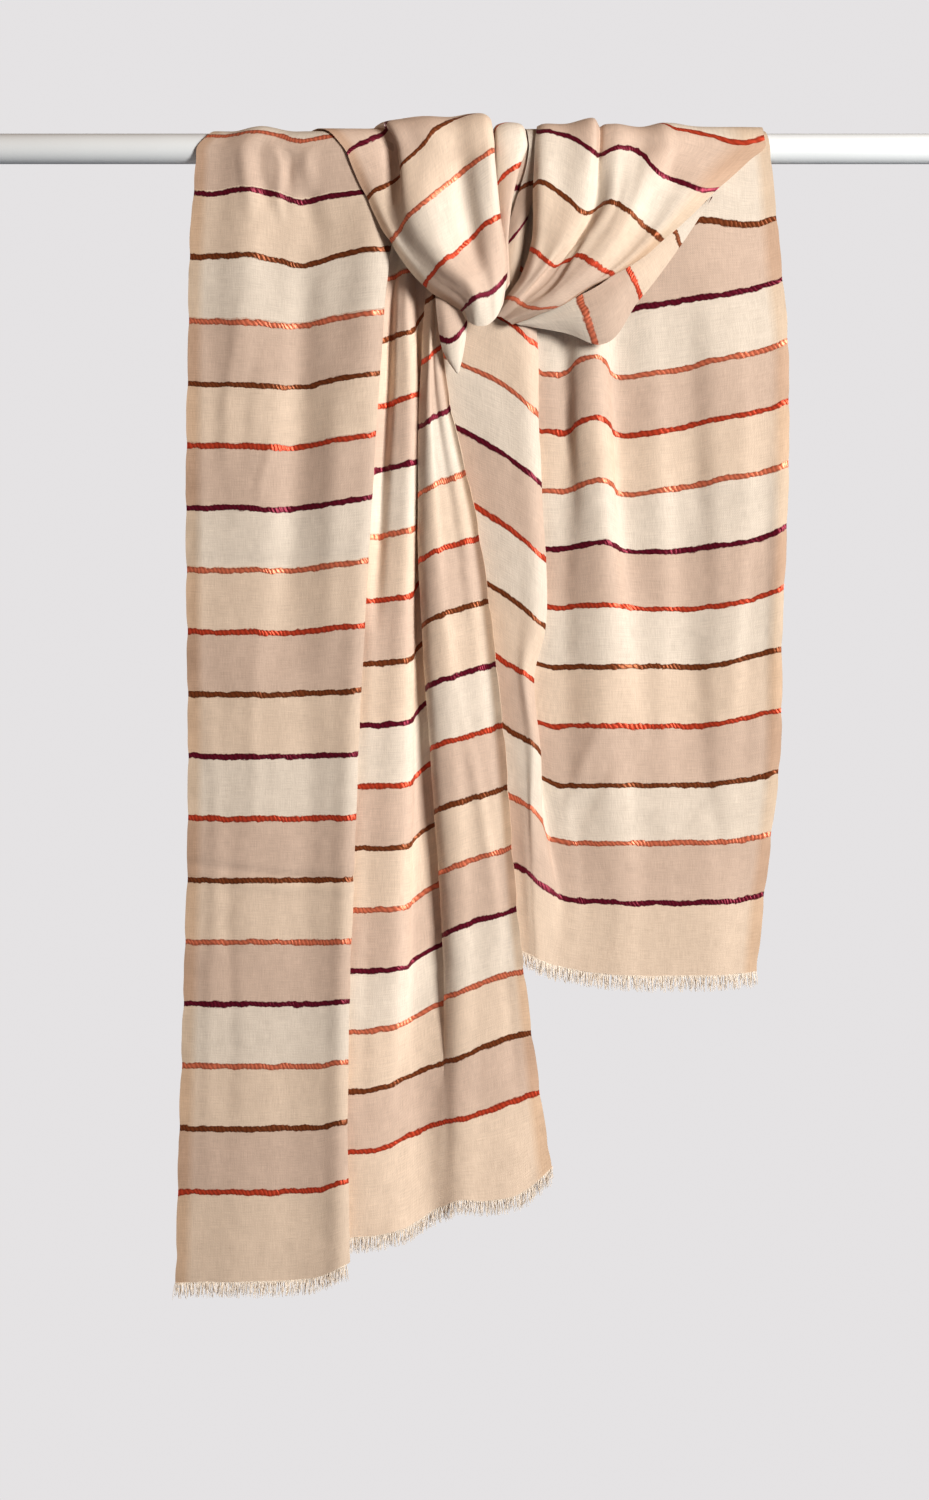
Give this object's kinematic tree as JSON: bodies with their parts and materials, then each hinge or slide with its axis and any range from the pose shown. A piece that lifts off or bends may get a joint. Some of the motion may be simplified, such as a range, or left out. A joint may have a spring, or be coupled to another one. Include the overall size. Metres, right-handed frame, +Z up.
{
  "type": "stole draped over a rod",
  "caption": "Light striped stole hung over a round rod, caught up into a swag in front, with long pleated and short broad ends and fringed hems.",
  "frame": {"origin": "on the rod's axis, at the middle of its length", "axes": "+X along the rod towards the short end of the stole, +Y towards the loops behind the rod, +Z up"},
  "size_m": [0.7, 0.0678, 0.8326],
  "materials": {
    "rod": "satin",
    "cloth": "matte",
    "fringe": "matte"
  },
  "bodies": {
    "root": {"rod": "rod", "left_fall": "cloth", "left_pleats": "cloth", "right_fall": "cloth", "left_swag": "cloth", "middle_pleat": "cloth", "inner_fold": "cloth", "right_swag": "cloth", "right_lining": "cloth", "left_lining": "cloth", "left_fringe": "fringe", "middle_fringe": "fringe", "right_fringe": "fringe"}
  },
  "joints": []
}
